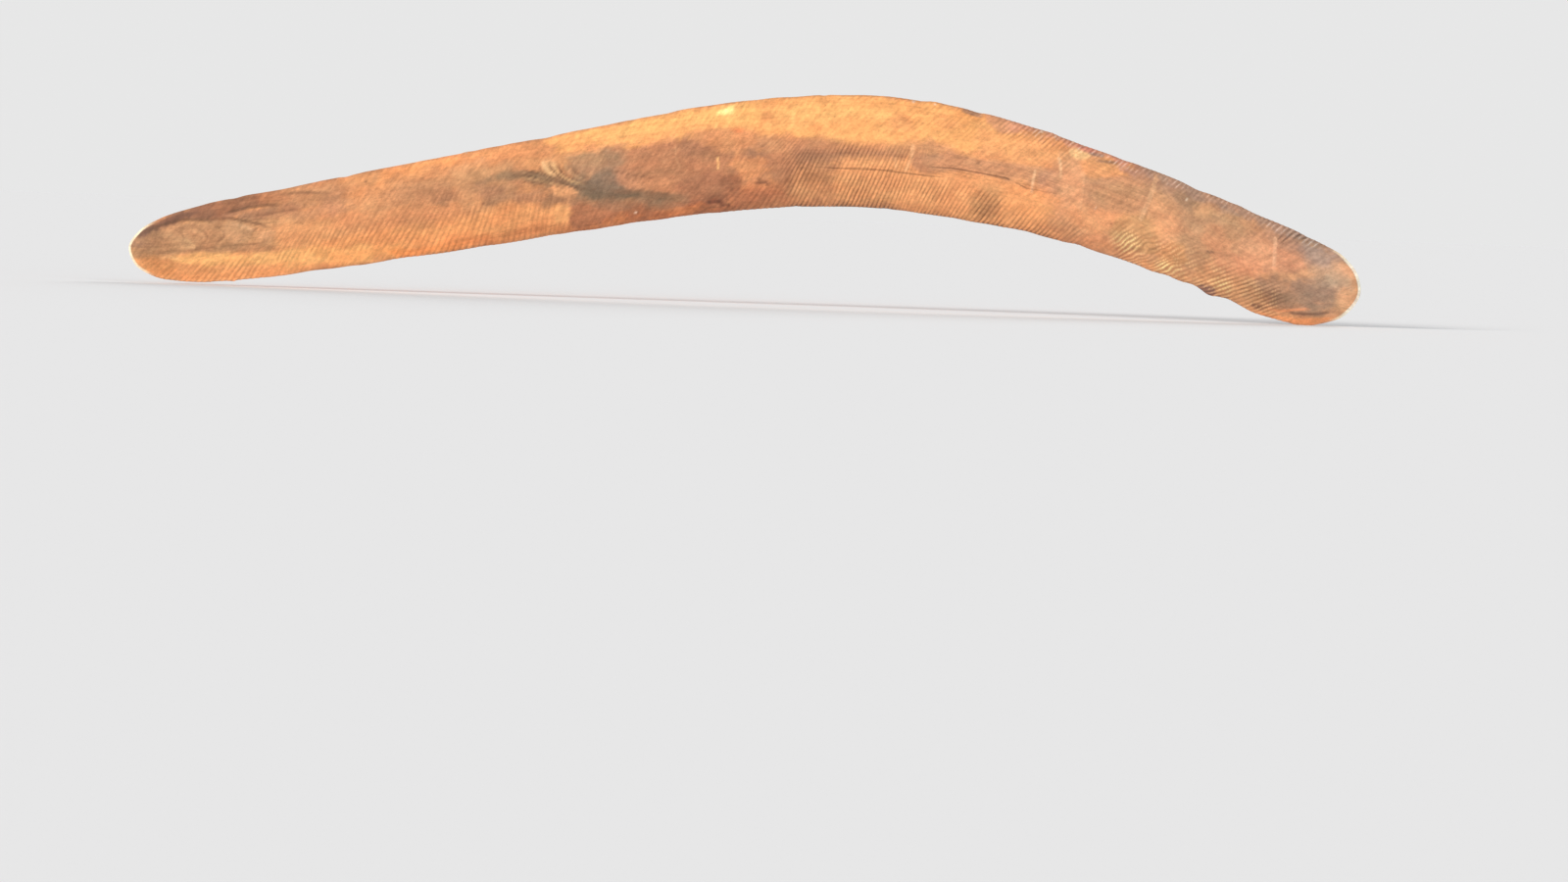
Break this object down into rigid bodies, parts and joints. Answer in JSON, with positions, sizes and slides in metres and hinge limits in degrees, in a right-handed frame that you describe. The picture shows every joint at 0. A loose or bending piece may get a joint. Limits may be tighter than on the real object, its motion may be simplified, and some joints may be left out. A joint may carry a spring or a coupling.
{
  "type": "boomerang",
  "caption": "Hunting boomerang carved from one bent piece of hardwood, with a crowned fluted front, a flat back and rounded tips",
  "frame": {"origin": "on the flat back at the elbow, midway between the inner and outer edges of the bend", "axes": "+X along the object towards the short arm's tip, the long arm lies towards -X; +Z in the plane of the blade, from the tips towards the outside of the elbow; +Y out of the flat back, so the carved front looks along -Y"},
  "size_m": [0.7215, 0.013, 0.1246],
  "materials": {
    "wood": "satin"
  },
  "bodies": {
    "root": {"blade": "wood"}
  },
  "joints": []
}
